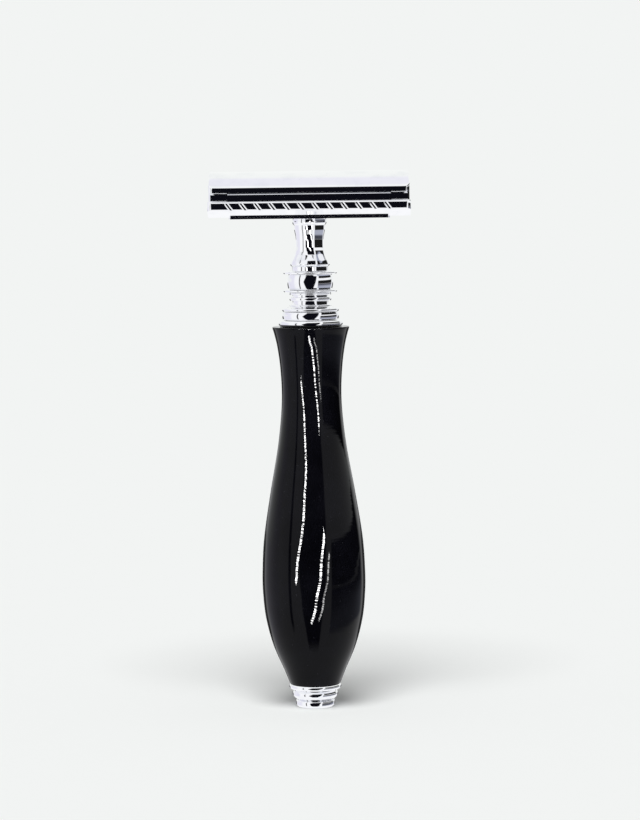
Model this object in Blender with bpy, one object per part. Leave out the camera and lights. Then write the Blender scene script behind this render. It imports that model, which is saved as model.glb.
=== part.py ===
"""Three-piece double-edge safety razor: a cap, a blade and a guard plate on a turned handle.

The handle is a stack of turned pieces that one tie rod holds together. The head is
held by the cap's threaded stud, which screws into the top of the handle's neck.

The frame: the foot stands on Z = 0 with its centre at the origin, +Z runs up the
handle, X along the head and Y from front to back. Lengths here are in millimetres
and the mesh builders turn them into metres.
"""

import math

import bmesh
import bpy

MM = 0.001
SEAT_GAP = 0.05  # between pieces that bear on each other
SLIDE_GAP = 0.05  # round a part that sits in a bore
SIDES = 32
GRIP_SIDES = 36

# Heights of the turned pieces, from the foot up
FINIAL_HEIGHT = 1.95
FOOT_BEAD_HEIGHT = 2.25
FOOT_FLANGE_HEIGHT = 1.15
GRIP_HEIGHT = 83.55
SEAT_FLANGE_HEIGHT = 1.45
FERRULE_HEIGHT = 1.95
FLANGE_RING_HEIGHT = 0.75
RIBBED_SLEEVE_HEIGHT = 3.65
DISC_HEIGHT = 0.50
BARREL_COLLAR_HEIGHT = 3.60
NECK_HEIGHT = 12.25

# Outer radii of the turned pieces
FINIAL_RADIUS = 4.57
FOOT_BEAD_RADIUS = 5.33
FOOT_FLANGE_RADIUS = 6.10
SEAT_FLANGE_RADIUS = 7.45
FERRULE_RADIUS = 6.58
FLANGE_RING_RADIUS = 6.60
SLEEVE_CORE_RADIUS = 4.17
SLEEVE_RIB_RADIUS = 4.87
DISC_RADIUS = 6.23
BARREL_COLLAR_RADIUS = 5.33

# The grip's waisted outline as (height above its base, radius), joined by a smooth curve
GRIP_STATIONS = (
    (0.0, 5.90),
    (3.0, 7.08),
    (9.0, 9.62),
    (15.5, 11.30),
    (21.5, 11.93),
    (26.0, 12.00),
    (34.0, 11.53),
    (44.5, 9.94),
    (55.5, 8.02),
    (63.0, 7.16),
    (68.5, 6.93),
    (74.5, 7.25),
    (79.0, 7.85),
    (81.8, 8.48),
    (83.55, 9.02),
)
GRIP_ROWS = 26

# Inside the handle
ROD_RADIUS = 2.00
ROD_END_CLEARANCE = 0.20
ROD_CHAMFER = 0.40
FINIAL_SPIGOT_RADIUS = 3.00
FINIAL_SPIGOT_HEIGHT = 6.95
FINIAL_FLOOR = 0.90
FOOT_SPIGOT_RADIUS = 4.15
FOOT_SPIGOT_HEIGHT = 3.00
CORE_TUBE_RADIUS = 2.95
FERRULE_SPIGOT_RADIUS = 4.15
FERRULE_SPIGOT_DEPTH = 5.10
FERRULE_FLOOR_HEIGHT = 0.50
NECK_SPIGOT_RADIUS = 3.20
NECK_SPIGOT_DEPTH = 11.60
NECK_ROD_HOLE_DEPTH = 9.30
WASHER_RADIUS = 3.90
WASHER_HEIGHT = 0.60
WASHER_SLOT = 0.50

# The stud's right-hand thread, M5 x 0.8
PITCH = 0.80
THREAD_CREST_RADIUS = 2.45
THREAD_ROOT_RADIUS = 2.00
THREAD_CREST_HALF_WIDTH = 0.08
THREAD_FLANK_RUN = 0.224
THREAD_CLEARANCE = 0.08
THREAD_SIDES = 18
SHANK_SIDES = 24
THREADED_HOLE_DEPTH = 8.70
STUD_REACH = 8.10
STUD_SHANK_RADIUS = 1.90
STUD_THREAD_TOP = 2.25

# The head, with heights above its underside
RIB_HALF_LENGTH = 18.50
RIB_HALF_WIDTH = 6.50
RIB_HEIGHT = 0.40
RIB_ROOT = 0.60  # how far the rib's block reaches into the plate
GUARD_HALF_LENGTH = 23.20
GUARD_HALF_WIDTH = 12.60
GUARD_LOW = 2.12
GUARD_FACE_TOP = 3.68
GUARD_TOP = 4.05
GUARD_TOP_LAND = 0.40
GUARD_TOP_EASE = 0.12
GUARD_LOW_EASE_RUN = 0.15
GUARD_LOW_EASE_RISE = 0.20
GUTTER_FLOOR = 3.00
GUTTER_INNER = 8.95
GUTTER_OUTER = 11.00
GUTTER_WALL_RUN = 0.35
GUTTER_WALL_DROP = 0.30
GUTTER_RIM_RUN = 0.75
SADDLE_EDGE_RUN = 0.10
SADDLE_EDGE_DROP = 0.15
SADDLE_ROOT = 1.50  # how far above the rib's height the saddle's block starts
SADDLE_HALF_LENGTH = 21.40
CORNER_RADIUS = 1.20
GROOVES_PER_SIDE = 12
GROOVE_PITCH = 3.29
GROOVE_MOUTH = 1.15
GROOVE_FLOOR = 0.45
GROOVE_DEPTH = 0.15
GROOVE_OVERRUN = 0.60  # how far a groove's cutter passes the face's lower edge
GROOVE_LEAN = math.radians(37)

BLADE_HALF_LENGTH = 21.50
BLADE_EDGE_HALF_LENGTH = 18.60
BLADE_HALF_WIDTH = 11.05
BLADE_TAB_HALF_WIDTH = 9.10
BLADE_THICKNESS = 0.10
BLADE_GRIND = 0.80
BLADE_BEND_RADIUS = 22.00
BLADE_EDGE_HEIGHT = 5.60
BLADE_GAP = 0.05
BLADE_SLOT_HALF_LENGTH = 17.00
BLADE_SLOT_WIDTH = 1.70
BLADE_STUD_HOLE_RADIUS = 2.90
BLADE_PIN_HOLE_RADIUS = 1.75

CAP_HALF_LENGTH = 23.05
CAP_HALF_WIDTH = 10.20
CAP_TOP = 10.85
CAP_SHOULDER_RADIUS = 1.00
CAP_SIDE_TOP = 6.80
CAP_SIDE_LOW = 6.10
CAP_LIP_HALF_WIDTH = 9.95
CAP_LIP_EASE_RUN = 0.08
CAP_LIP_EASE_DROP = 0.15
LUG_INNER_X = 18.80
LUG_INNER_Y = 9.25
LUG_OUTER_Y = 9.95
LUG_SHOULDER = 5.60
LUG_LOW = 4.11
LUG_INSET = 0.02  # keeps a lug's faces clear of the cap's own
PIN_X = 9.60
PIN_RADIUS = 1.45
PIN_LOW = 2.85
CAP_HOLE_FLOOR = 1.05
PLATE_STUD_HOLE_RADIUS = 2.65
PLATE_PIN_HOLE_RADIUS = 1.60
ARC_STEPS = 20

STEEL = ((0.62, 0.62, 0.63), 0.22, 1.0)
CHROME = ((0.86, 0.86, 0.88), 0.06, 1.0)
BRASS = ((0.72, 0.53, 0.24), 0.25, 1.0)
RESIN = ((0.010, 0.010, 0.013), 0.12, 0.0)


def stacked(heights):
    """The height at which each piece of a stack starts, with a seat gap above each."""
    bases = []
    base = 0.0
    for height in heights:
        bases.append(base)
        base += height + SEAT_GAP
    return bases + [base]


(
    FINIAL_BASE,
    FOOT_BEAD_BASE,
    FOOT_FLANGE_BASE,
    GRIP_BASE,
    SEAT_FLANGE_BASE,
    FERRULE_BASE,
    FLANGE_RING_BASE,
    RIBBED_SLEEVE_BASE,
    LOWER_DISC_BASE,
    BARREL_COLLAR_BASE,
    UPPER_DISC_BASE,
    NECK_BASE,
    HEAD_BASE,
) = stacked(
    (
        FINIAL_HEIGHT,
        FOOT_BEAD_HEIGHT,
        FOOT_FLANGE_HEIGHT,
        GRIP_HEIGHT,
        SEAT_FLANGE_HEIGHT,
        FERRULE_HEIGHT,
        FLANGE_RING_HEIGHT,
        RIBBED_SLEEVE_HEIGHT,
        DISC_HEIGHT,
        BARREL_COLLAR_HEIGHT,
        DISC_HEIGHT,
        NECK_HEIGHT,
    )
)

NECK_BORE_RADIUS = NECK_SPIGOT_RADIUS + SLIDE_GAP
ROD_BORE_RADIUS = ROD_RADIUS + SLIDE_GAP
ROD_PASSAGE_RADIUS = ROD_RADIUS + 3 * SLIDE_GAP
FINIAL_BORE_RADIUS = FINIAL_SPIGOT_RADIUS + SLIDE_GAP
GRIP_BORE_RADIUS = CORE_TUBE_RADIUS + SLIDE_GAP

# The blade lies bent on an arc about an axis along X, at this height in the head
BEND_CENTRE = BLADE_EDGE_HEIGHT - BLADE_BEND_RADIUS * math.cos(BLADE_HALF_WIDTH / BLADE_BEND_RADIUS)
SADDLE_RADIUS = BLADE_BEND_RADIUS - BLADE_THICKNESS / 2 - BLADE_GAP
CAP_HOLLOW_RADIUS = BLADE_BEND_RADIUS + BLADE_THICKNESS / 2 + BLADE_GAP


def clear_scene():
    for obj in list(bpy.data.objects):
        bpy.data.objects.remove(obj, do_unlink=True)


def material(name, finish):
    colour, roughness, metallic = finish
    made = bpy.data.materials.new(name)
    made.use_nodes = True
    shader = made.node_tree.nodes["Principled BSDF"]
    shader.inputs["Base Color"].default_value = (*colour, 1.0)
    shader.inputs["Roughness"].default_value = roughness
    shader.inputs["Metallic"].default_value = metallic
    return made


def new_object(name, mesh, finish=None):
    """An object from a bmesh in millimetres. Without a finish it is a cutter, left out of the part."""
    bmesh.ops.recalc_face_normals(mesh, faces=mesh.faces)
    if mesh.calc_volume(signed=True) < 0:
        bmesh.ops.reverse_faces(mesh, faces=mesh.faces)
    bmesh.ops.scale(mesh, vec=(MM, MM, MM), verts=mesh.verts)
    data = bpy.data.meshes.new(name)
    mesh.to_mesh(data)
    mesh.free()
    obj = bpy.data.objects.new(name, data)
    bpy.context.scene.collection.objects.link(obj)
    if finish is None:
        obj.hide_render = True
        obj.display_type = "WIRE"
    else:
        data.materials.append(material(name, finish))
        data.shade_smooth()
        data.set_sharp_from_angle(angle=math.radians(35))
    return obj


def placed(obj, parent, height=0.0):
    obj.parent = parent
    obj.location = (0.0, 0.0, height * MM)
    return obj


def empty(name, parent=None, height=0.0):
    obj = bpy.data.objects.new(name, None)
    bpy.context.scene.collection.objects.link(obj)
    return placed(obj, parent, height)


def boolean(obj, other, operation="DIFFERENCE"):
    modifier = obj.modifiers.new(other.name, "BOOLEAN")
    modifier.operation = operation
    modifier.object = other
    other.parent = obj


def arc(centre, radius, start, end, steps):
    """Points on a circle between two angles in degrees, both ends included."""
    points = []
    for step in range(steps + 1):
        angle = math.radians(start + (end - start) * step / steps)
        points.append((centre[0] + radius * math.cos(angle), centre[1] + radius * math.sin(angle)))
    return points


def bulge(radius, sag, low, high, steps=6):
    """A barrel's side from low to high: radius at its middle, less by sag at its ends."""
    points = []
    for step in range(steps + 1):
        along = step / steps
        points.append((radius - sag * (2 * along - 1) ** 2, low + (high - low) * along))
    return points


def turned(name, outline, finish=None, sides=SIDES):
    """A solid of revolution about Z from a closed outline of (radius, height) points."""
    mesh = bmesh.new()
    rings = []
    for radius, height in outline:
        count = 1 if radius == 0 else sides
        ring = []
        for side in range(count):
            angle = 2 * math.pi * side / sides
            ring.append(mesh.verts.new((radius * math.cos(angle), radius * math.sin(angle), height)))
        rings.append(ring)
    for ring, following in zip(rings, rings[1:] + rings[:1]):
        if len(ring) == len(following) == 1:
            continue
        for side in range(sides):
            near, far = side, side + 1
            corners = [ring[near % len(ring)], ring[far % len(ring)]]
            corners += [following[far % len(following)], following[near % len(following)]]
            mesh.faces.new(list(dict.fromkeys(corners)))
    return new_object(name, mesh, finish)


def extruded(name, outline, low_x, high_x, finish=None):
    """A solid of constant section from a closed outline of (y, z) points, drawn out along X."""
    mesh = bmesh.new()
    ends = [[mesh.verts.new((x, y, z)) for y, z in outline] for x in (low_x, high_x)]
    count = len(outline)
    mesh.faces.new(ends[0])
    mesh.faces.new(ends[1])
    for near in range(count):
        far = (near + 1) % count
        mesh.faces.new((ends[0][near], ends[0][far], ends[1][far], ends[1][near]))
    return new_object(name, mesh, finish)


def cylinder(name, radius, low, high, x=0.0, finish=None, sides=SIDES):
    obj = turned(name, [(0, low), (radius, low), (radius, high), (0, high)], finish, sides)
    obj.location.x = x * MM
    return obj


def block_cutter(name, low, high):
    section = [(low[1], low[2]), (high[1], low[2]), (high[1], high[2]), (low[1], high[2])]
    return extruded(name, section, low[0], high[0])


def mirrored(half):
    """A whole (y, z) outline from its half at +Y, which runs from the middle at the top to the middle below."""
    return half + [(-y, z) for y, z in reversed(half) if y > 0]


def thread_corners(clearance):
    """One turn of the thread's section as (height in turns, radius), grown all round by clearance."""
    depth = THREAD_CREST_RADIUS - THREAD_ROOT_RADIUS
    slant = math.hypot(depth, THREAD_FLANK_RUN) / depth
    corners = []
    for radius in (THREAD_ROOT_RADIUS + clearance, THREAD_CREST_RADIUS + clearance):
        run = (THREAD_CREST_RADIUS - radius) * THREAD_FLANK_RUN / depth
        corners.append(((THREAD_CREST_HALF_WIDTH + run + clearance * slant) / PITCH, radius))
    root, crest = corners
    return [(-root[0], root[1]), (-crest[0], crest[1]), crest, root]


def threaded(name, clearance, low, high, finish=None):
    """A right-hand threaded rod about Z. Its flanks lie on the same helix whatever its ends are."""
    corners = thread_corners(clearance)
    start = math.floor(low / PITCH) - 2
    turns = math.ceil((high - low) / PITCH) + 4
    rows = len(corners) * turns
    mesh = bmesh.new()
    columns = []
    for side in range(THREAD_SIDES):
        # off the X axis by part of a side, so that no edge here meets one of a turned piece's
        angle = 2 * math.pi * (side + 0.4) / THREAD_SIDES
        column = []
        for row in range(rows + (len(corners) if side == 0 else 0)):
            turn, corner = divmod(row, len(corners))
            offset, radius = corners[corner]
            height = (start + turn + offset + side / THREAD_SIDES) * PITCH
            column.append(mesh.verts.new((radius * math.cos(angle), radius * math.sin(angle), height)))
        columns.append(column)
    # after a full round the helix has climbed one turn, so the last column meets the first one turn up
    following = columns[1:] + [columns[0][len(corners):]]
    for column, beside in zip(columns, following):
        for row in range(rows - 1):
            mesh.faces.new((column[row], beside[row], beside[row + 1], column[row + 1]))
    low_rim = [column[0] for column in columns] + columns[0][len(corners):0:-1]
    high_rim = [column[rows - 1] for column in columns] + columns[0][: rows - 1: -1]
    for rim, height in ((low_rim, (start - 1) * PITCH), (high_rim, (start + turns + 2) * PITCH)):
        tip = mesh.verts.new((0, 0, height))
        for near, far in zip(rim, rim[1:] + rim[:1]):
            mesh.faces.new((near, far, tip))
    return new_object(name, mesh, finish)


def grip_outline():
    """The grip's outer side from its base up, as a Catmull-Rom curve through its stations."""
    heights = [height for height, _ in GRIP_STATIONS]
    radii = [radius for _, radius in GRIP_STATIONS]
    slopes = []
    for index in range(len(heights)):
        before = max(index - 1, 0)
        after = min(index + 1, len(heights) - 1)
        slopes.append((radii[after] - radii[before]) / (heights[after] - heights[before]))
    points = []
    for row in range(GRIP_ROWS + 1):
        height = GRIP_HEIGHT * row / GRIP_ROWS
        index = max(i for i in range(len(heights) - 1) if heights[i] <= height)
        span = heights[index + 1] - heights[index]
        along = (height - heights[index]) / span
        radius = (
            (2 * along**3 - 3 * along**2 + 1) * radii[index]
            + (along**3 - 2 * along**2 + along) * span * slopes[index]
            + (3 * along**2 - 2 * along**3) * radii[index + 1]
            + (along**3 - along**2) * span * slopes[index + 1]
        )
        points.append((radius, height))
    return points


def ring_outline(side, bore):
    """A ring's closed outline: its outer side, bottom to top, and a plain bore."""
    return side + [(bore, side[-1][1]), (bore, side[0][1])]


def make_finial():
    spigot_top = FINIAL_HEIGHT + FINIAL_SPIGOT_HEIGHT
    outline = [(0, 0), (FINIAL_RADIUS - 0.55, 0)]
    outline += arc((FINIAL_RADIUS - 0.55, 0.75), 0.55, -60, 0, 3)
    outline += arc((FINIAL_RADIUS - 0.55, 1.20), 0.55, 0, 75, 4)
    outline += [(FINIAL_RADIUS - 0.60, FINIAL_HEIGHT), (FINIAL_SPIGOT_RADIUS, FINIAL_HEIGHT)]
    outline += [(FINIAL_SPIGOT_RADIUS, spigot_top), (ROD_BORE_RADIUS, spigot_top)]
    outline += [(ROD_BORE_RADIUS, FINIAL_FLOOR), (0, FINIAL_FLOOR)]
    return turned("finial", outline, CHROME)


def make_lock_washer():
    bore = FINIAL_SPIGOT_RADIUS + 2 * SLIDE_GAP
    side = [(WASHER_RADIUS, 0), (WASHER_RADIUS, WASHER_HEIGHT)]
    washer = turned("lock_washer", ring_outline(side, bore), STEEL)
    slot = block_cutter("lock_washer_slot", (0, -WASHER_SLOT / 2, -1), (2 * WASHER_RADIUS, WASHER_SLOT / 2, 2))
    boolean(washer, slot)
    return washer


def make_foot_bead():
    recess = WASHER_RADIUS + 2 * SLIDE_GAP
    recess_top = WASHER_HEIGHT + SEAT_GAP
    side = bulge(FOOT_BEAD_RADIUS, 0.75, 0, FOOT_BEAD_HEIGHT)
    outline = side + [(FINIAL_BORE_RADIUS, FOOT_BEAD_HEIGHT), (FINIAL_BORE_RADIUS, recess_top)]
    outline += [(recess, recess_top), (recess, 0)]
    return turned("foot_bead", outline, CHROME)


def make_foot_flange():
    top = FOOT_FLANGE_HEIGHT + FOOT_SPIGOT_HEIGHT
    side = bulge(FOOT_FLANGE_RADIUS, 0.30, 0, FOOT_FLANGE_HEIGHT, 4)
    outline = side + [(FOOT_SPIGOT_RADIUS, FOOT_FLANGE_HEIGHT), (FOOT_SPIGOT_RADIUS, top)]
    outline += [(FINIAL_BORE_RADIUS, top), (FINIAL_BORE_RADIUS, 0)]
    return turned("foot_flange", outline, CHROME)


def make_grip():
    top_pocket = GRIP_HEIGHT - (FERRULE_SPIGOT_DEPTH - SEAT_FLANGE_HEIGHT - 2 * SEAT_GAP) - SEAT_GAP
    foot_pocket = FOOT_SPIGOT_HEIGHT + SEAT_GAP
    pocket = FOOT_SPIGOT_RADIUS + SLIDE_GAP
    outline = grip_outline()
    outline += [(pocket, GRIP_HEIGHT), (pocket, top_pocket), (GRIP_BORE_RADIUS, top_pocket)]
    outline += [(GRIP_BORE_RADIUS, foot_pocket), (pocket, foot_pocket), (pocket, 0)]
    return turned("grip", outline, RESIN, GRIP_SIDES)


def make_core_tube(height):
    side = [(CORE_TUBE_RADIUS, 0), (CORE_TUBE_RADIUS, height)]
    return turned("core_tube", ring_outline(side, ROD_PASSAGE_RADIUS), BRASS)


def make_tie_rod(length):
    blunt = ROD_RADIUS - ROD_CHAMFER
    outline = [(0, 0), (blunt, 0), (ROD_RADIUS, ROD_CHAMFER)]
    outline += [(ROD_RADIUS, length - ROD_CHAMFER), (blunt, length), (0, length)]
    return turned("tie_rod", outline, STEEL)


def make_seat_flange():
    side = bulge(SEAT_FLANGE_RADIUS, 0.30, 0, SEAT_FLANGE_HEIGHT, 4)
    return turned("seat_flange", ring_outline(side, FERRULE_SPIGOT_RADIUS + SLIDE_GAP), CHROME)


def make_ferrule():
    side = bulge(FERRULE_RADIUS, 0.22, 0, FERRULE_HEIGHT)
    outline = [(FERRULE_SPIGOT_RADIUS, -FERRULE_SPIGOT_DEPTH), (FERRULE_SPIGOT_RADIUS, 0)] + side
    outline += [(NECK_BORE_RADIUS, FERRULE_HEIGHT), (NECK_BORE_RADIUS, -FERRULE_FLOOR_HEIGHT)]
    outline += [(ROD_PASSAGE_RADIUS, -FERRULE_FLOOR_HEIGHT), (ROD_PASSAGE_RADIUS, -FERRULE_SPIGOT_DEPTH)]
    return turned("ferrule", outline, CHROME)


def make_flange_ring():
    side = bulge(FLANGE_RING_RADIUS, 0.18, 0, FLANGE_RING_HEIGHT, 4)
    return turned("flange_ring", ring_outline(side, NECK_BORE_RADIUS), CHROME)


def make_ribbed_sleeve():
    side = [(SLEEVE_CORE_RADIUS, 0)]
    for low, high in ((0.30, 0.75), (1.70, 2.50), (3.05, 3.55)):
        side += [(SLEEVE_CORE_RADIUS, low)]
        side += bulge(SLEEVE_RIB_RADIUS, 0.12, low, high, 2)
        side += [(SLEEVE_CORE_RADIUS, high)]
    side += [(SLEEVE_CORE_RADIUS, RIBBED_SLEEVE_HEIGHT)]
    return turned("ribbed_sleeve", ring_outline(side, NECK_BORE_RADIUS), CHROME)


def make_disc(name):
    side = bulge(DISC_RADIUS, 0.15, 0, DISC_HEIGHT, 2)
    return turned(name, ring_outline(side, NECK_BORE_RADIUS), CHROME)


def make_barrel_collar():
    side = bulge(BARREL_COLLAR_RADIUS, 0.30, 0, BARREL_COLLAR_HEIGHT)
    return turned("barrel_collar", ring_outline(side, NECK_BORE_RADIUS), CHROME)


def make_neck():
    spigot_end = -NECK_SPIGOT_DEPTH
    rod_hole_end = spigot_end + NECK_ROD_HOLE_DEPTH
    outline = [(0, rod_hole_end), (ROD_BORE_RADIUS, rod_hole_end), (ROD_BORE_RADIUS, spigot_end)]
    outline += [(NECK_SPIGOT_RADIUS, spigot_end), (NECK_SPIGOT_RADIUS, 0), (4.10, 0)]
    outline += [(4.20, 0.15), (4.20, 1.15), (4.45, 1.30), (4.62, 1.62), (4.28, 2.55)]
    outline += [(3.93, 3.25), (3.59, 3.95), (3.36, 4.70), (3.25, 5.50), (3.24, 7.30)]
    outline += [(3.34, 8.40), (3.58, 9.60), (3.60, 10.70), (3.85, 10.90)]
    outline += [(4.00, 11.35), (3.90, 12.10), (3.75, NECK_HEIGHT), (0, NECK_HEIGHT)]
    neck = turned("neck", outline, CHROME)
    low = NECK_HEIGHT - THREADED_HOLE_DEPTH
    mouth = NECK_HEIGHT + 1
    hole = threaded("neck_thread", THREAD_CLEARANCE, low, mouth)
    wide = 2 * THREAD_CREST_RADIUS
    trim = cylinder("neck_thread_trim", wide, low, mouth)
    boolean(hole, trim, "INTERSECT")
    boolean(neck, hole)
    return neck


def groove_cutter(side, direction):
    """A leaning wedge that cuts one groove in the guard's face. direction is -1 at the front, 1 at the back."""
    low = GUARD_LOW - GROOVE_OVERRUN
    high = GUARD_FACE_TOP
    middle = (side - (GROOVES_PER_SIDE - 1) / 2) * GROOVE_PITCH
    lean = (high - low) / 2 * math.tan(GROOVE_LEAN)
    floor_y = GUARD_HALF_WIDTH - GROOVE_DEPTH
    outside_y = GUARD_HALF_WIDTH + GROOVE_DEPTH
    mesh = bmesh.new()
    rims = []
    for y, width in ((floor_y, GROOVE_FLOOR), (outside_y, 2 * GROOVE_MOUTH - GROOVE_FLOOR)):
        rim = []
        for x, z, shift in ((-1, low, lean), (1, low, lean), (1, high, -lean), (-1, high, -lean)):
            rim.append(mesh.verts.new((middle + x * width / 2 - direction * shift, direction * y, z)))
        rims.append(rim)
        mesh.faces.new(rim)
    for near in range(4):
        far = (near + 1) % 4
        mesh.faces.new((rims[0][near], rims[0][far], rims[1][far], rims[1][near]))
    return new_object("groove", mesh)


def joined(name, objects):
    """One cutter from several that don't touch."""
    mesh = bmesh.new()
    for obj in objects:
        mesh.from_mesh(obj.data)
        bpy.data.objects.remove(obj, do_unlink=True)
    bmesh.ops.scale(mesh, vec=(1 / MM, 1 / MM, 1 / MM), verts=mesh.verts)
    return new_object(name, mesh)


def round_corners(obj, half_length, half_width):
    """Rounds the four upright corners of a plate that is centred on the origin."""
    corner_x = half_length - CORNER_RADIUS
    corner_y = half_width - CORNER_RADIUS
    rim = []
    for x_side, y_side, start in ((1, 1, 0), (-1, 1, 90), (-1, -1, 180), (1, -1, 270)):
        rim += arc((x_side * corner_x, y_side * corner_y), CORNER_RADIUS, start, start + 90, 6)
    mesh = bmesh.new()
    rings = [[mesh.verts.new((x, y, z)) for x, y in rim] for z in (-1, CAP_TOP + 1)]
    mesh.faces.new(rings[0])
    mesh.faces.new(rings[1])
    for near in range(len(rim)):
        far = (near + 1) % len(rim)
        mesh.faces.new((rings[0][near], rings[0][far], rings[1][far], rings[1][near]))
    boolean(obj, new_object(f"{obj.name}_corners", mesh), "INTERSECT")


def arc_over(radius, half_width, steps=ARC_STEPS):
    """Half of an arc about the blade's bend axis, from the middle out to half_width."""
    points = []
    reach = math.asin(half_width / radius)
    for step in range(steps // 2 + 1):
        angle = reach * step / (steps // 2)
        points.append((radius * math.sin(angle), BEND_CENTRE + radius * math.cos(angle)))
    return points


def make_base_plate():
    face = GUARD_HALF_WIDTH
    plate = [(0, GUTTER_FLOOR), (GUTTER_OUTER, GUTTER_FLOOR)]
    plate += [(GUTTER_OUTER + GUTTER_WALL_RUN, GUARD_TOP - GUTTER_WALL_DROP), (GUTTER_OUTER + GUTTER_RIM_RUN, GUARD_TOP)]
    plate += [(face - GUARD_TOP_LAND, GUARD_TOP), (face - GUARD_TOP_EASE, GUARD_TOP - GUARD_TOP_EASE)]
    plate += [(face, GUARD_FACE_TOP), (face, GUARD_LOW + GUARD_LOW_EASE_RISE), (face - GUARD_LOW_EASE_RUN, GUARD_LOW)]
    plate += [(RIB_HALF_WIDTH, RIB_HEIGHT), (0, RIB_HEIGHT)]
    base_plate = extruded("base_plate", mirrored(plate), -GUARD_HALF_LENGTH, GUARD_HALF_LENGTH, CHROME)
    saddle = arc_over(SADDLE_RADIUS, GUTTER_INNER - SADDLE_EDGE_RUN)
    root = RIB_HEIGHT + SADDLE_ROOT
    saddle += [(GUTTER_INNER, saddle[-1][1] - SADDLE_EDGE_DROP), (GUTTER_INNER, root), (0, root)]
    union = extruded("base_plate_saddle", mirrored(saddle), -SADDLE_HALF_LENGTH, SADDLE_HALF_LENGTH)
    boolean(base_plate, union, "UNION")
    rib_low = (-RIB_HALF_LENGTH, -RIB_HALF_WIDTH, 0)
    rib_high = (RIB_HALF_LENGTH, RIB_HALF_WIDTH, RIB_HEIGHT + RIB_ROOT)
    boolean(base_plate, block_cutter("base_plate_rib", rib_low, rib_high), "UNION")
    round_corners(base_plate, GUARD_HALF_LENGTH, GUARD_HALF_WIDTH)
    holes = [cylinder("base_plate_stud_hole", PLATE_STUD_HOLE_RADIUS, -1, CAP_TOP)]
    for x in (-PIN_X, PIN_X):
        holes.append(cylinder("base_plate_pin_hole", PLATE_PIN_HOLE_RADIUS, -1, CAP_TOP, x, sides=16))
    for hole in holes:
        boolean(base_plate, hole)
    grooves = []
    for direction in (-1, 1):
        for side in range(GROOVES_PER_SIDE):
            grooves.append(groove_cutter(side, direction))
    boolean(base_plate, joined("base_plate_grooves", grooves))
    return base_plate


def make_blade():
    """A thin sheet bent over the saddle, ground to an edge along both sides."""
    half = BLADE_THICKNESS / 2
    body = BLADE_HALF_WIDTH - BLADE_GRIND
    upper = arc_over(BLADE_BEND_RADIUS + half, (BLADE_BEND_RADIUS + half) * math.sin(body / BLADE_BEND_RADIUS))
    lower = arc_over(BLADE_BEND_RADIUS - half, (BLADE_BEND_RADIUS - half) * math.sin(body / BLADE_BEND_RADIUS))
    tip = BLADE_HALF_WIDTH / BLADE_BEND_RADIUS
    edge = []
    for radius in (BLADE_BEND_RADIUS + half / 5, BLADE_BEND_RADIUS - half / 5):
        edge.append((radius * math.sin(tip), BEND_CENTRE + radius * math.cos(tip)))
    outline = mirrored(upper + edge + lower[::-1])
    blade = extruded("blade", outline, -BLADE_HALF_LENGTH, BLADE_HALF_LENGTH, STEEL)
    corner = BLADE_BEND_RADIUS * math.sin(BLADE_TAB_HALF_WIDTH / BLADE_BEND_RADIUS)
    outside = 2 * BLADE_HALF_LENGTH
    for x_name, x_side in (("left", -1), ("right", 1)):
        for y_name, y_side in (("front", -1), ("back", 1)):
            xs = sorted((x_side * BLADE_EDGE_HALF_LENGTH, x_side * outside))
            ys = sorted((y_side * corner, y_side * outside))
            notch = block_cutter(f"blade_{x_name}_{y_name}_notch", (xs[0], ys[0], 0), (xs[1], ys[1], CAP_TOP))
            boolean(blade, notch)
    slot_low = (-BLADE_SLOT_HALF_LENGTH, -BLADE_SLOT_WIDTH / 2, 0)
    slot_high = (BLADE_SLOT_HALF_LENGTH, BLADE_SLOT_WIDTH / 2, CAP_TOP)
    boolean(blade, block_cutter("blade_slot", slot_low, slot_high))
    boolean(blade, cylinder("blade_stud_hole", BLADE_STUD_HOLE_RADIUS, 0, CAP_TOP))
    for x in (-PIN_X, PIN_X):
        boolean(blade, cylinder("blade_pin_hole", BLADE_PIN_HOLE_RADIUS, 0, CAP_TOP, x, sides=16))
    return blade


def cap_outline():
    """Half of the cap's section: a crown arc, a tighter shoulder arc tangent to it, an upright side and a hollow."""
    middle_y = CAP_HALF_WIDTH - CAP_SHOULDER_RADIUS
    drop = CAP_TOP - CAP_SIDE_TOP
    crown = (middle_y**2 + drop**2 - CAP_SHOULDER_RADIUS**2) / (2 * (drop - CAP_SHOULDER_RADIUS))
    reach = math.degrees(math.asin(middle_y / (crown - CAP_SHOULDER_RADIUS)))
    half = [(0, CAP_TOP)]
    half += arc((0, CAP_TOP - crown), crown, 90, 90 - reach, ARC_STEPS // 2)[1:]
    half += arc((middle_y, CAP_SIDE_TOP), CAP_SHOULDER_RADIUS, 90 - reach, 0, 5)[1:]
    half += [(CAP_HALF_WIDTH, CAP_SIDE_LOW), (CAP_HALF_WIDTH - CAP_LIP_EASE_RUN, CAP_SIDE_LOW - CAP_LIP_EASE_DROP)]
    return half + arc_over(CAP_HOLLOW_RADIUS, CAP_LIP_HALF_WIDTH)[::-1]


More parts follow.
